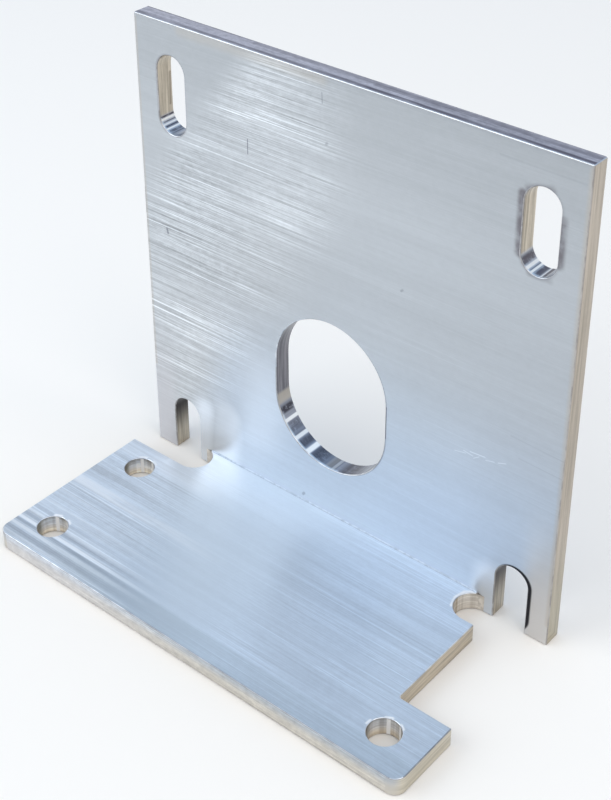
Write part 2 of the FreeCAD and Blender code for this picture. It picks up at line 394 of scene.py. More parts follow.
# Milled walls: straight colours where a wall looks sideways and turned ones where it faces up, partly
# painted reflections of the floor and the sky
SLOT_STRAIGHT = ((0.375, 0.33, 0.265), (0.66, 0.59, 0.48))
SLOT_TURNED = ((0.34, 0.36, 0.40), (0.58, 0.61, 0.66))
WINDOW_STRAIGHT = ((0.12, 0.12, 0.14), (0.30, 0.29, 0.31))
WINDOW_TURNED = ((0.17, 0.18, 0.215), (0.35, 0.38, 0.45))
HOLE_STRIPES = ((0.64, 0.60, 0.55), (1.0, 0.97, 0.91))
HOLE_TINTS = ((1.06, 1.17, 1.35), (0.82, 0.87, 0.96))
# The inside corner's fillet, darker than the faces beside it: painted shade
CORNER_SHADE_COLOURS = ((0.50, 0.56, 0.64), (0.63, 0.70, 0.79))
# Broken edges: painted light and shade by which way they look and where they are
EDGE_TOP_HIGHLIGHT = ((0.70, 0.71, 0.73), (0.96, 0.97, 1.0))
EDGE_LEFT_FOOT = ((0.42, 0.44, 0.46), (0.80, 0.83, 0.86))
EDGE_RIGHT_FOOT = ((0.29, 0.30, 0.325), (0.43, 0.45, 0.48))
EDGE_SHADED = ((0.34, 0.32, 0.31), (0.52, 0.50, 0.48))
# Cut rims: painted shade and painted light by which way they look
RIM_SHADED = ((0.34, 0.33, 0.33), (0.52, 0.52, 0.53))
RIM_LIT = ((0.62, 0.66, 0.72), (0.96, 0.98, 1.0))

# Colours that are painted over a finish
# Colour of the painted sheen on the plate's lit lines
PLATE_PAINTED_SHEEN = (0.95, 0.985, 1.02)
# Colour of the painted highlights beside the lower slots
PLATE_HIGHLIGHT_PAINT = (0.84, 0.88, 0.93)
PLATE_WARM = (0.50, 0.45, 0.38)
PLATE_BRIGHT = (0.92, 0.95, 0.98)
# Colour of the painted black reflections along rims
PLATE_BLACK_REFLECTION = (0.015, 0.015, 0.02)
# Colour of the painted dark reflections round the upper right slot
DARK_HALO_REFLECTION = (0.16, 0.145, 0.16)
# Colour of dark marks, and of the painted dark reflections round the upper slots and the window
FACE_DARK = (0.12, 0.13, 0.17)
EDGE_DARK = (0.10, 0.09, 0.12)
FOOT_LEFT_PALE = (0.94, 0.94, 0.94)
FOOT_LEFT_SHARE = 0.26
FOOT_RELIEF_PALE = (0.96, 0.97, 0.98)
FOOT_PALE = (0.98, 0.98, 0.98)
FOOT_DULL = (0.20, 0.23, 0.28)
WHITE = (1.0, 1.0, 1.0)
SLOT_BROWN = (0.16, 0.13, 0.10)
# Slot colours for painted dark reflections, painted glints and painted highlights on the arcs
SLOT_DARK_REFLECTION = (0.06, 0.05, 0.07)
SLOT_BLUE = (0.80, 0.90, 1.0)
SLOT_HIGHLIGHT = (1.0, 1.0, 0.98)
# Colour of the painted shade under the open slots' arches
ARCH_SHADE_COLOUR = (0.05, 0.045, 0.045)
# Window colours for painted warm and dark reflections, a painted glint and painted highlights
WINDOW_WARM_REFLECTION = (0.50, 0.46, 0.40)
WINDOW_DARK_REFLECTION = (0.05, 0.05, 0.065)
WINDOW_BLUE = (0.78, 0.90, 1.0)
WINDOW_HIGHLIGHT = (0.96, 0.99, 1.0)
HOLE_BROWN = (0.30, 0.26, 0.22)
HOLE_BROWN_SHARE = 0.42
# Hole colours for painted shade and painted reflections
HOLE_SHADE_COLOUR = (0.12, 0.12, 0.09)
HOLE_REFLECTION_COLOUR = (1.0, 0.99, 0.97)
# Painted brown reflection on edges that look left
EDGE_LEFT_REFLECTION = (0.26, 0.22, 0.18)

# Tints that a finish's colour is multiplied by
# Tint of the painted reflection of the foot
PLATE_FOOT_REFLECTION_TINT = (1.00, 1.055, 1.13)
WINDOW_SIDE_TINT = (1.045, 1.05, 1.055)
# Tint of the painted reflection of the sky on the foot
FOOT_SKY_REFLECTION_TINT = (1.035, 1.055, 1.09)
FRONT_STRIP_TINT = (0.85, 0.86, 0.855)
# Painted light on the foot's sawn ends, and painted shade low on the plate's
SAWN_FOOT_LIGHT_TINT = (1.285, 1.355, 1.364)
SAWN_LOW_SHADE_TINT = (0.945, 0.975, 0.925)
# Painted warm light from the floor, low in the holes
HOLE_FLOOR_LIGHT_TINT = (1.16, 1.02, 0.82)

# Finishes, in the order of the bracket's material slots
FINISHES = ("plate_face", "foot_face", "top_edge", "front_edge", "sawn_end", "slot_wall", "window_wall",
            "hole_wall", "inside_corner", "broken_edge", "cut_rim")


def sight_line():
    """The direction from the bracket to the camera."""
    turn = math.radians(CAMERA_AZIMUTH)
    rise = math.radians(CAMERA_ELEVATION)
    return Vector((math.sin(turn) * math.cos(rise), -math.cos(turn) * math.cos(rise), math.sin(rise)))


def make_camera():
    """The photograph's camera: its optical axis meets the picture above the middle."""
    back = sight_line()
    bpy.ops.object.camera_add(location=CAMERA_AIM + back * CAMERA_DISTANCE)
    camera = bpy.context.object
    camera.name = "photo_camera"
    camera.rotation_euler = (-back).to_track_quat("-Z", "Y").to_euler()
    camera.rotation_euler.rotate_axis("Z", math.radians(CAMERA_ROLL))
    camera.data.sensor_fit = "HORIZONTAL"
    camera.data.sensor_width = SENSOR_WIDTH
    camera.data.lens = FOCAL_PIXELS * SENSOR_WIDTH / PICTURE_WIDTH
    camera.data.shift_y = (AXIS_ROW - MIDDLE_ROW) / PICTURE_WIDTH
    bpy.context.scene.camera = camera


def feed(tree, socket, term):
    """What goes into a socket: another socket, or a plain value. A colour is given by its three shares."""
    if isinstance(term, bpy.types.NodeSocket):
        tree.links.new(term, socket)
    elif socket.type == "RGBA":
        socket.default_value = (*term, 1.0)
    else:
        socket.default_value = term


def add_node(tree, kind, inputs=None, **settings):
    """A node with its settings and what goes into it."""
    made = tree.nodes.new(kind)
    for name, value in settings.items():
        setattr(made, name, value)
    for name, term in (inputs or {}).items():
        feed(tree, made.inputs[name], term)
    return made


def sums(tree, operation, *terms, clamp=False):
    """A Math node on numbers and sockets."""
    made = add_node(tree, "ShaderNodeMath", dict(enumerate(terms)), operation=operation, use_clamp=clamp)
    return made.outputs[0]


def vector_sums(tree, operation, inputs):
    """A Vector Math node's outputs."""
    return add_node(tree, "ShaderNodeVectorMath", inputs, operation=operation).outputs


def times(tree, *terms):
    """The product of several values."""
    total = terms[0]
    for term in terms[1:]:
        total = sums(tree, "MULTIPLY", total, term)
    return total


def add_up(tree, *terms, clamp=False):
    """The sum of several values."""
    total = terms[0]
    for term in terms[1:-1]:
        total = sums(tree, "ADD", total, term)
    return sums(tree, "ADD", total, terms[-1], clamp=clamp)


def centred(tree, value, strength):
    """Noise about nought, at a strength that may itself change over the surface."""
    return times(tree, sums(tree, "SUBTRACT", value, NOISE_MIDDLE), strength)


def followed(tree, source, line):
    """A value that follows another one in a straight line."""
    gain, start = line
    return sums(tree, "MULTIPLY_ADD", source, gain, start)


def past_border(tree, x, height, border):
    """How far a point lies to the right of a slanted border."""
    return sums(tree, "SUBTRACT", x, followed(tree, height, border))


def parts_of(tree, vector):
    """The x, y and z of a vector."""
    return add_node(tree, "ShaderNodeSeparateXYZ", {"Vector": vector}).outputs


def ramped(tree, source, low, high, bottom=0.0, top=1.0):
    """A soft step of a value from low to high."""
    made = add_node(tree, "ShaderNodeMapRange",
                    {"Value": source, "From Min": low, "From Max": high, "To Min": bottom, "To Max": top},
                    interpolation_type="SMOOTHSTEP")
    return made.outputs["Result"]


def mixed(tree, amount, first, second, blend="MIX"):
    """Two colours, mixed by an amount. A Mix node's sockets for colours are found by number."""
    given = dict(zip(MIX_COLOUR_INPUTS, (amount, first, second)))
    made = add_node(tree, "ShaderNodeMix", given, data_type="RGBA", blend_type=blend)
    return made.outputs[MIX_COLOUR_OUTPUT]


def tinted(tree, amount, colour, tint):
    """A colour multiplied by a tint, by an amount."""
    return mixed(tree, amount, colour, tint, "MULTIPLY")


def new_group(name, inputs, outputs):
    """An empty node group, and what its sockets bring in and take out."""
    group = bpy.data.node_groups.new(name, "ShaderNodeTree")
    for way, sockets in (("INPUT", inputs), ("OUTPUT", outputs)):
        for label, kind in sockets.items():
            group.interface.new_socket(label, in_out=way, socket_type="NodeSocket" + kind)
    return group, group.nodes.new("NodeGroupInput").outputs, group.nodes.new("NodeGroupOutput").inputs


def placed(tree, group, inputs):
    """A node group placed in a tree, with what goes into it."""
    made = tree.nodes.new("ShaderNodeGroup")
    made.node_tree = group
    for name, term in inputs.items():
        feed(tree, made.inputs[name], term)
    return made.outputs


def stretched_noise(tree, place, lengths, detail, roughness, seed):
    """Noise whose grains are as long in x, y and z as the lengths say."""
    scales = tuple(1.0 / length for length in lengths)
    scaled = add_node(tree, "ShaderNodeMapping", {"Vector": place, "Location": (seed,) * 3, "Scale": scales})
    given = {"Vector": scaled.outputs["Vector"], "Scale": 1.0, "Detail": detail, "Roughness": roughness}
    return add_node(tree, "ShaderNodeTexNoise", given).outputs["Fac"]


def patches(tree, place, noise, step):
    """Noise with a soft step on it."""
    return ramped(tree, stretched_noise(tree, place, *noise), *step)


def make_drawn_lines():
    """Long fine lines along x left by the drawing die, and the broader bands that they gather into."""
    group, given, result = new_group(
        "drawn_lines", {"Place": "Vector"}, {"Fine": "Float", "Bands": "Float", "Bright": "Float"})
    place = given["Place"]
    lone = patches(group, place, LONE_LINES, LONE_LINES_STEP)
    fields = patches(group, place, LINE_FIELDS, LINE_FIELDS_STEP)
    feed(group, result["Fine"], stretched_noise(group, place, *FINE_LINES))
    feed(group, result["Bands"], stretched_noise(group, place, *BROAD_LINES))
    feed(group, result["Bright"], times(group, lone, fields))
    return group


def make_metal_grain():
    """The faint uneven grain of bare aluminium."""
    group, given, result = new_group("metal_grain", {"Place": "Vector"}, {"Grain": "Float"})
    feed(group, result["Grain"], stretched_noise(group, given["Place"], *METAL_CLOUDS))
    return group


def make_wall_cuts(metal_grain):
    """Cutter marks on a wall, partly painted reflections: grainy stripes along it, bands across it, and
    where it faces up.
    """
    group, given, result = new_group(
        "wall_cuts", {"Place": "Vector", "Facing": "Vector", "Band Width": "Float"},
        {"Stripes": "Float", "Bands": "Float", "Faces Up": "Float"})
    place = given["Place"]
    x, y, z = parts_of(group, place)
    on_plate = sums(group, "GREATER_THAN", y, PLATE_FACE - WALL_GAP)
    on_foot = sums(group, "SUBTRACT", 1.0, on_plate)
    plate_stripes = times(group, stretched_noise(group, place, *PLATE_WALL_STRIPES), on_plate)
    foot_stripes = times(group, stretched_noise(group, place, *FOOT_WALL_STRIPES), on_foot)
    stripes = ramped(group, add_up(group, plate_stripes, foot_stripes), *WALL_STRIPES_STEP)
    grain = placed(group, metal_grain, {"Place": place})["Grain"]
    stripes = add_up(group, stripes, centred(group, grain, WALL_GRAIN), clamp=True)
    around = add_node(group, "ShaderNodeCombineXYZ",
                      {"X": x, "Y": times(group, y, on_foot), "Z": times(group, z, on_plate)})
    finer = sums(group, "DIVIDE", 1.0, given["Band Width"])
    around = vector_sums(group, "SCALE", {0: around.outputs["Vector"], "Scale": finer})["Vector"]
    facing = parts_of(group, given["Facing"])
    feed(group, result["Stripes"], stripes)
    feed(group, result["Bands"], patches(group, around, WALL_BANDS, WALL_BANDS_STEP))
    # Where the wall faces up; the finishes paint the sky's reflection there
    feed(group, result["Faces Up"], ramped(group, facing["Z"], *WALL_TURNS_UP))
    return group


def make_short_mark():
    """A straight mark between two points, with a soft edge."""
    group, given, result = new_group(
        "short_mark",
        {"Place": "Vector", "From": "Vector", "To": "Vector", "Width": "Float", "Softness": "Float"},
        {"Mark": "Float"})
    here = vector_sums(group, "SUBTRACT", {0: given["Place"], 1: given["From"]})["Vector"]
    run = vector_sums(group, "SUBTRACT", {0: given["To"], 1: given["From"]})["Vector"]
    reach = vector_sums(group, "DOT_PRODUCT", {0: here, 1: run})["Value"]
    whole = vector_sums(group, "DOT_PRODUCT", {0: run, 1: run})["Value"]
    part = sums(group, "DIVIDE", reach, whole, clamp=True)
    nearest = vector_sums(group, "SCALE", {0: run, "Scale": part})["Vector"]
    away = vector_sums(group, "DISTANCE", {0: here, 1: nearest})["Value"]
    outer = add_up(group, given["Width"], given["Softness"])
    feed(group, result["Mark"], ramped(group, away, outer, given["Width"]))
    return group


def make_satin_metal(drawn_lines, metal_grain):
    """Drawn aluminium: its colour, roughness and height from the drawn lines and the grain."""
    group, given, result = new_group(
        "satin_metal",
        {"Place": "Vector", "Strength": "Float", "Quiet": "Float", "Fine Gain": "Float",
         "Bands Gain": "Float", "Bright Gain": "Float", "Grain Gain": "Float", "Roughness": "Float",
         "Dark": "Color", "Light": "Color"},
        {"Colour": "Color", "Roughness": "Float", "Height": "Float"})
    strength = given["Strength"]
    lines = placed(group, drawn_lines, {"Place": given["Place"]})
    grain = placed(group, metal_grain, {"Place": given["Place"]})["Grain"]
    fine = centred(group, lines["Fine"], strength)
    quiet = sums(group, "MULTIPLY_ADD", fine, given["Fine Gain"], given["Quiet"])
    bands = centred(group, lines["Bands"], given["Bands Gain"])
    grains = centred(group, grain, sums(group, "MULTIPLY_ADD", strength, given["Grain Gain"], LEAST_GRAIN))
    bright = times(group, lines["Bright"], times(group, strength, given["Bright Gain"]))
    shade = add_up(group, quiet, bands, grains, bright, clamp=True)
    feed(group, result["Colour"], mixed(group, shade, given["Dark"], given["Light"]))
    feed(group, result["Roughness"], sums(group, "MULTIPLY_ADD", fine, LINES_POLISH, given["Roughness"]))
    feed(group, result["Height"], fine)
    return group


def facing_of(tree):
    """The way that the surface looks."""
    return add_node(tree, "ShaderNodeTexCoord").outputs["Normal"]


def place_in_mm(tree):
    """Object coordinates in millimetres."""
    here = add_node(tree, "ShaderNodeTexCoord").outputs["Object"]
    return vector_sums(tree, "MULTIPLY", {0: here, 1: (MM_IN_A_METRE,) * 3})["Vector"]


def new_metal(name, roughness):
    """A material with one metal shader: its tree, the shader's sockets and the place of each point."""
    material = bpy.data.materials.new(name)
    material.use_nodes = True
    tree = material.node_tree
    shader = tree.nodes["Principled BSDF"].inputs
    shader["Metallic"].default_value = 1.0
    shader["Roughness"].default_value = roughness
    return material, tree, shader, place_in_mm(tree)


def satin(tree, shader, groups, given):
    """Drawn aluminium on a shader, with the light stretched across its lines; gives back its colour."""
    made = placed(tree, groups["satin_metal"], given)
    bump = add_node(tree, "ShaderNodeBump",
                    {"Height": made["Height"], "Strength": BUMP_STRENGTH, "Distance": BUMP_DISTANCE})
    across_lines = vector_sums(tree, "CROSS_PRODUCT", {0: facing_of(tree), 1: LINES_DIRECTION})["Vector"]
    feed(tree, shader["Roughness"], made["Roughness"])
    feed(tree, shader["Normal"], bump.outputs["Normal"])
    feed(tree, shader["Tangent"], across_lines)
    shader["Anisotropic"].default_value = ANISOTROPY
    return made["Colour"]


def grain_patches(tree, groups, place, step):
    """The metal's grain with a soft step on it."""
    return ramped(tree, placed(tree, groups["metal_grain"], {"Place": place})["Grain"], *step)


def upright(marks, y=PLATE_FACE):
    """Marks given in x and z, on an upright face."""
    return [((x0, y, z0), (x1, y, z1), *shape) for (x0, z0), (x1, z1), *shape in marks]


def level(marks, z=FOOT_TOP):
    """Marks given in x and y, on a level face."""
    return [((x0, y0, z), (x1, y1, z), *shape) for (x0, y0), (x1, y1), *shape in marks]


def foot_bands(bands):
    """Long marks from the foot's left end to its middle, drifting forwards a little."""
    return level([((-HALF_LENGTH, y), (0.0, y - FOOT_BAND_DRIFT), *shape) for y, *shape in bands])


def marks_on(tree, groups, place, marks):
    """The strongest of several marks at each point."""
    total = None
    for start, stop, width, softness, strength in marks:
        given = {"Place": place, "From": start, "To": stop, "Width": width, "Softness": softness}
        mark = times(tree, placed(tree, groups["short_mark"], given)["Mark"], strength)
        total = mark if total is None else sums(tree, "MAXIMUM", total, mark)
    return total


def marked(tree, groups, place, colour, marks, paint, where=None):
    """A colour with marks painted over it, perhaps only in some places."""
    amount = marks_on(tree, groups, place, marks)
    if where is not None:
        amount = times(tree, amount, where)
    return mixed(tree, amount, colour, paint)


def arc_point(arc, angle, y):
    """A point of an upright arc, at an angle in degrees from its left side."""
    middle_x, middle_z, radius = arc
    turn = math.radians(angle)
    return middle_x - radius * math.cos(turn), y, middle_z - radius * math.sin(turn)


def bands_on(tree, groups, place, arc, bands):
    """Marks straight across the wall of an upright arc, at angles from its left side."""
    marks = []
    for angle, half_width, strength in bands:
        width = arc[2] * math.radians(half_width)
        front = arc_point(arc, angle, PLATE_FACE)
        back = arc_point(arc, angle, PLATE_BACK)
        marks.append((front, back, BAND_CORE * width, BAND_EDGE * width, strength))
    return marks_on(tree, groups, place, marks)


def rim_glint(tree, groups, place, arc, glint):
    """Light along the front of an arc's wall, between two angles from its left side."""
    first, last, strength = glint
    turns = [first + (last - first) * step / GLINT_STEPS for step in range(GLINT_STEPS + 1)]
    corners = [arc_point(arc, turn, PLATE_FACE) for turn in turns]
    shape = (GLINT_WIDTH, GLINT_SOFTNESS, strength)
    return marks_on(tree, groups, place, [(*ends, *shape) for ends in zip(corners, corners[1:])])


def on_upper_slots(tree, groups, place, marks_of, left, right):
    """The marks of the two upper slots' arcs together."""
    return sums(tree, "MAXIMUM", marks_of(tree, groups, place, UPPER_LEFT_ARC, left),
                marks_of(tree, groups, place, UPPER_RIGHT_ARC, right))


def down_the_hole(hole, angle, shape):
    """A mark straight down a hole's wall, at an angle round it from its right side."""
    x, y = hole
    turn = math.radians(angle)
    side_x = x + HOLE_RADIUS * math.cos(turn)
    side_y = y + HOLE_RADIUS * math.sin(turn)
    return (side_x, side_y, 0.0), (side_x, side_y, FOOT_TOP), *shape


def whiten_glints(tree, shader, glints):
    """Less metal where light glints, so that a glint stays pale from every side."""
    feed(tree, shader["Metallic"], followed(tree, glints, GLINT_METALLIC))


def make_plate_face(groups):
    """The plate's drawn faces: cool, satin, with lines that stand out, partly as painted light, and a
    painted sheen left of a slanted border.
    """
    material, tree, shader, place = new_metal("plate_face", PLATE_SATIN["Roughness"])
    x, _, z = parts_of(tree, place)
    border = sums(tree, "MINIMUM", followed(tree, z, PLATE_LINES_BORDER), PLATE_LINES_END)
    left_side = ramped(tree, sums(tree, "SUBTRACT", x, border), *PLATE_LEFT_OF_BORDER)
    corner = ramped(tree, past_border(tree, x, z, PLATE_CORNER_BORDER), *PLATE_PAST_CORNER)
    margin = ramped(tree, past_border(tree, x, z, PLATE_MARGIN_BORDER), *PLATE_PAST_MARGIN)
    fields = patches(tree, place, PLATE_FIELDS, PLATE_FIELDS_STEP)
    above_foot = ramped(tree, z, *PLATE_ABOVE_FOOT)
    lit = times(tree, times(tree, left_side, corner), times(tree, fields, above_foot))
    strength = followed(tree, times(tree, lit, margin), PLATE_STRENGTH)
    given = {"Place": place, "Strength": strength, "Quiet": ramped(tree, z, *PLATE_QUIET)}
    colour = satin(tree, shader, groups, {**given, **PLATE_SATIN})

    less_lit = times(tree, ramped(tree, z, *LESS_LIT_ABOVE),
                     ramped(tree, past_border(tree, x, z, PLATE_LESS_LIT_BORDER), *LESS_LIT_LEFT))
    # Painted sheen: the lit zone turns paler, less so where it is less lit
    colour = mixed(tree, times(tree, lit, followed(tree, less_lit, PAINTED_SHEEN_SHARE)), colour, PLATE_PAINTED_SHEEN)
    # Painted reflection of the foot: bluer low down and towards the right
    reflects_foot = times(tree, ramped(tree, z, *BLUE_BELOW), ramped(tree, x, *BLUE_RIGHT))
    colour = tinted(tree, reflects_foot, colour, PLATE_FOOT_REFLECTION_TINT)
    window_side = times(tree, ramped(tree, x, *WINDOW_SIDE_LEFT), ramped(tree, x, *WINDOW_SIDE_RIGHT),
                        ramped(tree, z, *WINDOW_SIDE_BELOW))
    colour = tinted(tree, window_side, colour, WINDOW_SIDE_TINT)
    # Painted highlights beside the lower slots
    colour = marked(tree, groups, place, colour, upright(PLATE_PAINTED_HIGHLIGHTS), PLATE_HIGHLIGHT_PAINT)
    # Painted reflection of the floor: the ears' lower parts turn grey, not blue
    ear = times(tree, ramped(tree, sums(tree, "ABSOLUTE", x), *EAR_OUTSIDE), ramped(tree, z, *EAR_BELOW))
    colour = mixed(tree, ear, colour, mixed(tree, sums(tree, "GREATER_THAN", x, 0.0), *EAR_FLOOR_REFLECTIONS))
    # Noise that breaks up the painted dark reflections round the upper right slot
    halo_patches = patches(tree, place, HALO_BREAKS, HALO_BREAKS_STEP)
    for marks, paint, where in (
        (PLATE_WARM_MARKS, PLATE_WARM, None),
        (PLATE_DARK_MARKS_AND_HALOS, FACE_DARK, None),
        (PLATE_DARK_HALOS, DARK_HALO_REFLECTION, halo_patches),
        (PLATE_BLACK_REFLECTION_LINES, PLATE_BLACK_REFLECTION, None),
        (PLATE_BRIGHT_MARKS, PLATE_BRIGHT, None),
    ):
        colour = marked(tree, groups, place, colour, upright(marks), paint, where)
    feed(tree, shader["Base Color"], colour)
    return material


def make_foot_face(groups):
    """The foot's drawn faces: brighter and bluer than the plate, a painted sky reflection, with stronger
    lines at the left end.
    """
    material, tree, shader, place = new_metal("foot_face", FOOT_SATIN["Roughness"])
    x, y, _ = parts_of(tree, place)
    left_end = ramped(tree, past_border(tree, x, y, FOOT_LINES_BORDER), *FOOT_LEFT_OF_BORDER)
    either_end = sums(tree, "MAXIMUM", left_end, ramped(tree, x, *FOOT_LINES_RIGHT))
    strength = add_up(tree, either_end, FOOT_LEAST_STRENGTH)
    # Painted sheen: lighter towards the plate
    sheen_by_plate = times(tree, ramped(tree, y, *TOWARDS_PLATE), ramped(tree, x, *TOWARDS_PLATE_LEFT))
    given = {"Place": place, "Strength": strength, "Bands Gain": followed(tree, strength, FOOT_BANDS_GAIN),
             "Quiet": add_up(tree, ramped(tree, y, *FOOT_QUIET), sheen_by_plate)}
    colour = satin(tree, shader, groups, {**given, **FOOT_SATIN})

    # Painted reflection of the sky: bluer towards the right
    colour = tinted(tree, ramped(tree, x, *FOOT_BLUE_RIGHT), colour, FOOT_SKY_REFLECTION_TINT)
    colour = mixed(tree, times(tree, left_end, FOOT_LEFT_SHARE), colour, FOOT_LEFT_PALE)
    # Painted light: the strip beside the plate is lifted, more to the right
    corner_light = mixed(tree, ramped(tree, x, *BESIDE_PLATE_RIGHT), *CORNER_LIGHT_TINTS)
    colour = tinted(tree, ramped(tree, y, *BESIDE_PLATE), colour, corner_light)
    front_strip = times(tree, ramped(tree, y, *FRONT_STRIP), ramped(tree, x, *FRONT_STRIP_RIGHT))
    colour = tinted(tree, front_strip, colour, FRONT_STRIP_TINT)
    by_relief = times(tree, ramped(tree, y, *BY_RELIEF), ramped(tree, x, *BY_RELIEF_LEFT))
    colour = mixed(tree, by_relief, colour, FOOT_RELIEF_PALE)
    breaks = patches(tree, place, BAND_BREAKS, BAND_BREAKS_STEP)
    to_the_left = times(tree, breaks, ramped(tree, x, *FOOT_BANDS_LEFT))
    colour = marked(tree, groups, place, colour, foot_bands(FOOT_PALE_BANDS), FOOT_PALE, to_the_left)
    colour = marked(tree, groups, place, colour, foot_bands(FOOT_DULL_BANDS), FOOT_DULL, to_the_left)
    colour = marked(tree, groups, place, colour, level(FOOT_DARK_MARKS), FACE_DARK)
    bright = marks_on(tree, groups, place, level(FOOT_BRIGHT_MARKS))
    feed(tree, shader["Base Color"], mixed(tree, bright, colour, WHITE))
    whiten_glints(tree, shader, bright)
    return material


def make_top_edge(groups):
    """The plate's drawn top edge: violet grey, with dull lines along it."""
    material, tree, shader, place = new_metal("top_edge", TOP_SATIN["Roughness"])
    colour = satin(tree, shader, groups, {"Place": place, **TOP_SATIN})
    uneven = patches(tree, place, TOP_EDGE_WEAR, TOP_EDGE_STEP)
    colour = marked(tree, groups, place, colour, level(TOP_EDGE_MARKS, PLATE_TOP), EDGE_DARK, uneven)
    feed(tree, shader["Base Color"], colour)
    return material


def make_front_edge(groups):
    """The foot's drawn front edge: cool along its top, and warmer below towards the right, painted
    reflections of sky and floor.
    """
    material, tree, shader, place = new_metal("front_edge", FRONT_SATIN["Roughness"])
    x, _, z = parts_of(tree, place)
    colour = satin(tree, shader, groups, {"Place": place, **FRONT_SATIN})
    # Painted reflections: tints, cool from the sky along the top and warm from the floor below
    to_the_right = ramped(tree, x, *FRONT_EDGE_RIGHT)
    low_tint = mixed(tree, to_the_right, *FRONT_EDGE_LOW)
    high_tint = mixed(tree, to_the_right, *FRONT_EDGE_HIGH)
    colour = tinted(tree, 1.0, colour, mixed(tree, ramped(tree, z, *FRONT_EDGE_ABOVE), low_tint, high_tint))
    colour = marked(tree, groups, place, colour, upright(FRONT_EDGE_MARKS, FOOT_FRONT), EDGE_DARK)
    feed(tree, shader["Base Color"], colour)
    return material


def make_sawn_end(groups):
    """Sawn and linished ends: warmer, partly a painted reflection of the floor, with soft stripes along the
    section. Painted light lifts the foot's ends, painted shade darkens the plate's ends low down, and ends
    that look forward take painted reflections.
    """
    material, tree, shader, place = new_metal("sawn_end", SAWN_START_ROUGHNESS)
    x, y, z = parts_of(tree, place)
    depth = sums(tree, "MINIMUM", sums(tree, "SUBTRACT", PLATE_BACK, y), z)
    along = sums(tree, "SUBTRACT", z, y)
    section = add_node(tree, "ShaderNodeCombineXYZ", {"X": along, "Y": depth, "Z": x}).outputs["Vector"]
    grain = placed(tree, groups["metal_grain"], {"Place": place})["Grain"]
    shade = add_up(tree, patches(tree, section, SAWN_STRIPES, SAWN_STEP), centred(tree, grain, SAWN_GRAIN),
                   clamp=True)
    colour = mixed(tree, shade, *SAWN)
    # Painted light on the foot's ends and painted shade low on the plate's
    on_plate = ramped(tree, y, *SAWN_ON_PLATE)
    colour = mixed(tree, on_plate, tinted(tree, 1.0, colour, SAWN_FOOT_LIGHT_TINT), colour)
    low = times(tree, ramped(tree, z, *SAWN_BELOW), on_plate)
    colour = tinted(tree, low, colour, SAWN_LOW_SHADE_TINT)
    # Painted reflections on the ends that look forward, warm below and cool above
    forward = ramped(tree, parts_of(tree, facing_of(tree))["Y"], *SAWN_LOOKS_FORWARD)
    colour = mixed(tree, forward, colour, mixed(tree, ramped(tree, z, *FRONT_EDGE_ABOVE), *SAWN_FRONT_REFLECTIONS))
    feed(tree, shader["Base Color"], colour)
    feed(tree, shader["Roughness"], followed(tree, shade, SAWN_ROUGHNESS))
    return material


def cuts_on(tree, groups, place, band_width):
    """The cutter's marks on a wall."""
    given = {"Place": place, "Facing": facing_of(tree), "Band Width": band_width}
    return placed(tree, groups["wall_cuts"], given)


def milled(tree, cuts, straight, turned):
    """The colour of a milled wall: striped where it looks sideways and banded where it faces up, in colours
    that partly paint the floor's and the sky's reflections.
    """
    striped = mixed(tree, cuts["Stripes"], *straight)
    banded = mixed(tree, cuts["Bands"], *turned)
    return mixed(tree, cuts["Faces Up"], striped, banded)


def make_slot_wall(groups):
    """The milled slots: warm and striped where straight, with painted reflections across where they turn,
    painted glints along their fronts and painted shade under the open arches.
    """
    material, tree, shader, place = new_metal("slot_wall", MILLED_ROUGHNESS)
    colour = milled(tree, cuts_on(tree, groups, place, SLOT_BAND_WIDTH), SLOT_STRAIGHT, SLOT_TURNED)
    dark = on_upper_slots(tree, groups, place, bands_on, UPPER_LEFT_DARK, UPPER_RIGHT_DARK)
    bright = on_upper_slots(tree, groups, place, bands_on, UPPER_LEFT_BRIGHT, UPPER_RIGHT_BRIGHT)
    glint = on_upper_slots(tree, groups, place, rim_glint, UPPER_LEFT_GLINT, UPPER_RIGHT_GLINT)
    colour = marked(tree, groups, place, colour, SLOT_STREAK, SLOT_BROWN)
    mottle = grain_patches(tree, groups, place, SLOT_MOTTLE_STEP)
    # Painted reflections on the arcs: dark bands, glints along the fronts and light bands
    colour = mixed(tree, times(tree, dark, mottle), colour, SLOT_DARK_REFLECTION)
    colour = mixed(tree, glint, colour, SLOT_BLUE)
    colour = mixed(tree, bright, colour, SLOT_HIGHLIGHT)
    # Painted shade under the open slots' arches
    colour = mixed(tree, arch_shade(tree, place), colour, ARCH_SHADE_COLOUR)
    feed(tree, shader["Base Color"], colour)
    whiten_glints(tree, shader, bright)
    return material


def arch_shade(tree, place):
    """Painted shade under the arches of the two open slots, darker towards the arch."""
    _, y, z = parts_of(tree, place)
    on_plate = sums(tree, "GREATER_THAN", y, PLATE_FACE - WALL_GAP)
    low = sums(tree, "LESS_THAN", z, ARCH_TOP)
    return times(tree, low, on_plate, ramped(tree, z, *ARCH_SHADE_ABOVE))


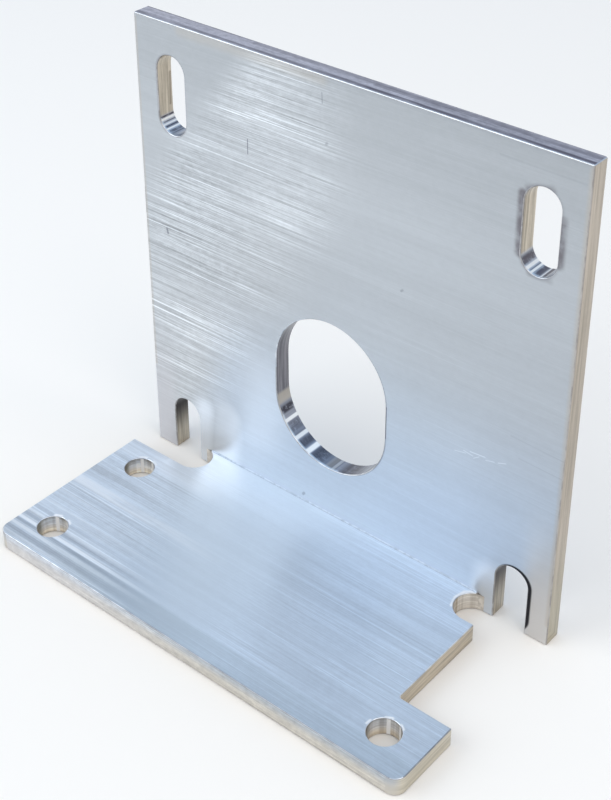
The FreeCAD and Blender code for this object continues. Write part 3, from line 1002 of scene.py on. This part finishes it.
def make_window_wall(groups):
    """The shaft window's milled wall: dark, with painted reflections across its lower arc and a painted
    glint along its front.
    """
    material, tree, shader, place = new_metal("window_wall", MILLED_ROUGHNESS)
    colour = milled(tree, cuts_on(tree, groups, place, WINDOW_BAND_WIDTH), WINDOW_STRAIGHT, WINDOW_TURNED)
    warm = bands_on(tree, groups, place, WINDOW_ARC, WINDOW_WARM)
    dark = bands_on(tree, groups, place, WINDOW_ARC, WINDOW_DARK)
    bright = bands_on(tree, groups, place, WINDOW_ARC, WINDOW_BRIGHT)
    # Painted reflections on the lower arc: warm and dark bands, a glint along the front and light bands
    colour = mixed(tree, warm, colour, WINDOW_WARM_REFLECTION)
    mottle = grain_patches(tree, groups, place, WINDOW_MOTTLE_STEP)
    colour = mixed(tree, times(tree, dark, mottle), colour, WINDOW_DARK_REFLECTION)
    colour = mixed(tree, rim_glint(tree, groups, place, WINDOW_ARC, WINDOW_GLINT), colour, WINDOW_BLUE)
    colour = mixed(tree, bright, colour, WINDOW_HIGHLIGHT)
    feed(tree, shader["Base Color"], colour)
    whiten_glints(tree, shader, bright)
    return material


def make_hole_wall(groups):
    """The bored holes and the foot's round cuts: warm, with painted reflections as light streaks down the
    wall, painted shade as dark ones, and painted warm floor light low in the holes.
    """
    material, tree, shader, place = new_metal("hole_wall", BORED_ROUGHNESS)
    x, y, z = parts_of(tree, place)
    cuts = cuts_on(tree, groups, place, HOLE_BAND_WIDTH)
    striping = mixed(tree, cuts["Stripes"], *HOLE_STRIPES)
    colour = mixed(tree, cuts["Bands"], mixed(tree, HOLE_BROWN_SHARE, striping, HOLE_BROWN), striping)
    in_hole = sums(tree, "LESS_THAN", y, RELIEF_FRONT)
    tint = mixed(tree, ramped(tree, x, *HOLES_RIGHT), *HOLE_TINTS)
    colour = mixed(tree, in_hole, colour, tinted(tree, 1.0, colour, tint))
    # Painted warm light from the floor, low in the holes
    colour = tinted(tree, times(tree, in_hole, ramped(tree, z, *HOLES_BELOW)), colour, HOLE_FLOOR_LIGHT_TINT)
    light_streaks = []
    dark_streaks = []
    for hole, angles in zip(FOOT_HOLES, HOLE_STREAKS):
        for angle, width, strength in zip(angles, STREAK_WIDTHS, STREAK_STRENGTHS):
            light_streaks.append(down_the_hole(hole, angle, (width, STREAK_SOFTNESS, strength)))
        for angle in HOLE_SHADES:
            dark_streaks.append(down_the_hole(hole, angle, HOLE_SHADE_SHAPE))
    # Painted shade and painted reflections down the holes' walls
    colour = marked(tree, groups, place, colour, dark_streaks, HOLE_SHADE_COLOUR)
    bright = marks_on(tree, groups, place, light_streaks)
    feed(tree, shader["Base Color"], mixed(tree, bright, colour, HOLE_REFLECTION_COLOUR))
    whiten_glints(tree, shader, bright)
    return material


def make_inside_corner():
    """The fillet in the inside corner: darker than the faces beside it, a painted shade, with small dark
    specks in a row.
    """
    material, tree, shader, place = new_metal("inside_corner", CORNER_ROUGHNESS)
    specks = patches(tree, place, CORNER_SPECKS, SPECKS_STEP)
    feed(tree, shader["Base Color"], mixed(tree, specks, *CORNER_SHADE_COLOURS))
    return material


def make_broken_edge():
    """The outside edges broken with a file: painted highlights where they look up, brightest high on the
    plate, painted shade where they look sideways or down, and a brown painted reflection where they look
    left.
    """
    material, tree, shader, place = new_metal("broken_edge", FILED_ROUGHNESS)
    x, _, z = parts_of(tree, place)
    facing = parts_of(tree, facing_of(tree))
    shade = patches(tree, place, EDGE_FILING, EDGE_STEP)
    foot = mixed(tree, ramped(tree, x, *EDGE_FOOT_RIGHT), mixed(tree, shade, *EDGE_LEFT_FOOT),
                 mixed(tree, shade, *EDGE_RIGHT_FOOT))
    upper = mixed(tree, ramped(tree, z, *EDGE_ABOVE), foot, mixed(tree, shade, *EDGE_TOP_HIGHLIGHT))
    lower = mixed(tree, shade, *EDGE_SHADED)
    # Painted highlight where the edges look up, painted shade elsewhere, and a brown painted reflection
    # where they look left
    colour = mixed(tree, ramped(tree, facing["Z"], *EDGE_LOOKS_UP), lower, upper)
    colour = mixed(tree, ramped(tree, facing["X"], *EDGE_LOOKS_LEFT), colour, EDGE_LEFT_REFLECTION)
    feed(tree, shader["Base Color"], colour)
    return material


def make_cut_rim(groups):
    """The broken rims of the cut-outs: painted light below, where they look up, and at the window's upper
    left, and painted shade elsewhere.
    """
    material, tree, shader, place = new_metal("cut_rim", FILED_ROUGHNESS)
    facing = parts_of(tree, facing_of(tree))
    shade = patches(tree, place, RIM_FILING, RIM_STEP)
    lit = sums(tree, "MAXIMUM", ramped(tree, facing["Z"], *RIM_LOOKS_UP),
               rim_glint(tree, groups, place, WINDOW_UPPER_ARC, WINDOW_RIM_GLINT))
    feed(tree, shader["Base Color"],
         mixed(tree, lit, mixed(tree, shade, *RIM_SHADED), mixed(tree, shade, *RIM_LIT)))
    return material


def make_finishes():
    """All the bracket's finishes, in the order of its material slots."""
    grain = make_metal_grain()
    groups = {
        "satin_metal": make_satin_metal(make_drawn_lines(), grain),
        "wall_cuts": make_wall_cuts(grain),
        "short_mark": make_short_mark(),
        "metal_grain": grain,
    }
    return [
        make_plate_face(groups),
        make_foot_face(groups),
        make_top_edge(groups),
        make_front_edge(groups),
        make_sawn_end(groups),
        make_slot_wall(groups),
        make_window_wall(groups),
        make_hole_wall(groups),
        make_inside_corner(),
        make_broken_edge(),
        make_cut_rim(groups),
    ]


def finish_of(face):
    """The finish of one face of the bracket, by where it is and which way it looks."""
    nx, ny, nz = face.normal
    x, y, z = face.center / MM
    flat = max(abs(nx), abs(ny), abs(nz)) > ALONG_AXIS
    at_outside = [
        abs(x) > HALF_LENGTH - RIM_WIDTH,
        y > PLATE_BACK - RIM_WIDTH or y < FOOT_FRONT + RIM_WIDTH or abs(y - PLATE_FACE) < RIM_WIDTH,
        z > PLATE_TOP - RIM_WIDTH or z < RIM_WIDTH or abs(z - FOOT_TOP) < RIM_WIDTH,
    ]
    if flat and abs(nx) > TOWARDS_AXIS and abs(x) > HALF_LENGTH - PLACE_GAP:
        return "sawn_end"
    if flat and ny < 0 and y < FOOT_FRONT + PLACE_GAP:
        return "front_edge"
    if flat and nz > 0 and z > PLATE_TOP - PLACE_GAP:
        return "top_edge"
    if flat and abs(ny) > TOWARDS_AXIS and (abs(y - PLATE_FACE) < PLACE_GAP or y > PLATE_BACK - PLACE_GAP):
        return "plate_face"
    if flat and abs(nz) > TOWARDS_AXIS and (abs(z - FOOT_TOP) < PLACE_GAP or z < PLACE_GAP):
        return "foot_face"
    in_corner = y > PLATE_FACE - INSIDE_FILLET - PLACE_GAP and z < FOOT_TOP + INSIDE_FILLET + PLACE_GAP
    if abs(nx) < ACROSS_AXIS and ny < -ACROSS_AXIS and nz > ACROSS_AXIS and in_corner and z > FOOT_TOP:
        return "inside_corner"
    if abs(ny) < ACROSS_AXIS and y > PLATE_FACE:
        from_window = math.hypot(x - WINDOW_MIDDLE[0], z - WINDOW_MIDDLE[1])
        return "window_wall" if from_window < WINDOW_REACH else "slot_wall"
    if abs(nz) < ACROSS_AXIS and y < FOOT_FRONT + CORNER_RADIUS and abs(x) > HALF_LENGTH - CORNER_RADIUS:
        return "sawn_end"
    if abs(nz) < ACROSS_AXIS and y < PLATE_FACE - PLACE_GAP:
        holes = [math.hypot(x - a, y - b) for a, b in FOOT_HOLES]
        return "hole_wall" if min(holes) < HOLE_REACH or not flat else "slot_wall"
    if sum(at_outside) > 1:
        return "broken_edge"
    return "cut_rim"


def make_body(node, finishes):
    """The bracket as one clean shell: the CAD part's shape with a finish for each kind of face."""
    mesh = node.data.copy()
    mesh.name = "bracket_body"
    body = bpy.data.objects.new("bracket_body", mesh)
    bpy.context.collection.objects.link(body)
    bpy.ops.object.select_all(action="DESELECT")
    bpy.context.view_layer.objects.active = body
    body.select_set(True)
    bpy.ops.mesh.customdata_custom_splitnormals_clear()
    bpy.ops.object.mode_set(mode="EDIT")
    bpy.ops.mesh.select_all(action="SELECT")
    bpy.ops.mesh.remove_doubles(threshold=MERGE_GAP * MM)
    bpy.ops.mesh.dissolve_limited(angle_limit=math.radians(FLAT_TURN))
    bpy.ops.object.mode_set(mode="OBJECT")
    mesh.materials.clear()
    for finish in finishes:
        mesh.materials.append(finish)
    for face in mesh.polygons:
        face.material_index = FINISHES.index(finish_of(face))
    bpy.ops.object.shade_smooth_by_angle(angle=math.radians(SMOOTH_TURN))
    weighting = body.modifiers.new("weigh_flats", "WEIGHTED_NORMAL")
    weighting.keep_sharp = True
    bpy.ops.object.modifier_apply(modifier=weighting.name)
    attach(body, "root")
    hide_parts("bracket")
    return body


def make_floor():
    """A plain pale table top that takes the bracket's shadow."""
    bpy.ops.object.select_all(action="DESELECT")
    bpy.ops.mesh.primitive_plane_add(size=2 * FLOOR_HALF)
    floor = bpy.context.object
    floor.name = "floor"
    paper = bpy.data.materials.new("floor_paper")
    paper.use_nodes = True
    shader = paper.node_tree.nodes["Principled BSDF"].inputs
    shader["Base Color"].default_value = (*FLOOR_WHITE, 1.0)
    shader["Roughness"].default_value = FLOOR_ROUGHNESS
    floor.data.materials.append(paper)


def make_sky():
    """Plain daylight: pale in front and low down, bluer overhead and behind."""
    world = bpy.data.worlds.new("studio_daylight")
    bpy.context.scene.world = world
    world.use_nodes = True
    tree = world.node_tree
    _, y, z = parts_of(tree, add_node(tree, "ShaderNodeTexCoord").outputs["Generated"])
    bluer = times(tree, ramped(tree, z, *SKY_RISE), ramped(tree, y, *SKY_TURN))
    feed(tree, tree.nodes["Background"].inputs["Color"], mixed(tree, bluer, SKY_FRONT, SKY_BACK))


def make_lamp(name, place, size, power, colour):
    """A large soft lamp that looks at the bracket."""
    bpy.ops.object.light_add(type="AREA", location=place)
    lamp = bpy.context.object
    lamp.name = name
    lamp.data.size = size
    lamp.data.energy = power
    lamp.data.color = colour
    lamp.rotation_euler = (LAMP_AIM - Vector(place)).to_track_quat("-Z", "Y").to_euler()


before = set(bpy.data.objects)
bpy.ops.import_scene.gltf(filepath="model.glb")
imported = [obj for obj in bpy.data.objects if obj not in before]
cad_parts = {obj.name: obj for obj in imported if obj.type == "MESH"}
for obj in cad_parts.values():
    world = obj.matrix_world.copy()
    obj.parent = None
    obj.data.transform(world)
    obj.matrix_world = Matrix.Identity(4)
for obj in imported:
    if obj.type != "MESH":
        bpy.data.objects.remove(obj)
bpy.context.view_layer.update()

make_camera()
make_sky()
make_lamp("window_lamp", WINDOW_LAMP_PLACE, WINDOW_LAMP_SIZE, WINDOW_LAMP_POWER, WINDOW_LAMP_COLOUR)
make_lamp("room_lamp", ROOM_LAMP_PLACE, ROOM_LAMP_SIZE, ROOM_LAMP_POWER, ROOM_LAMP_COLOUR)
make_floor()
make_body(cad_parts["bracket"], make_finishes())

bpy.context.scene.view_settings.view_transform = "Standard"
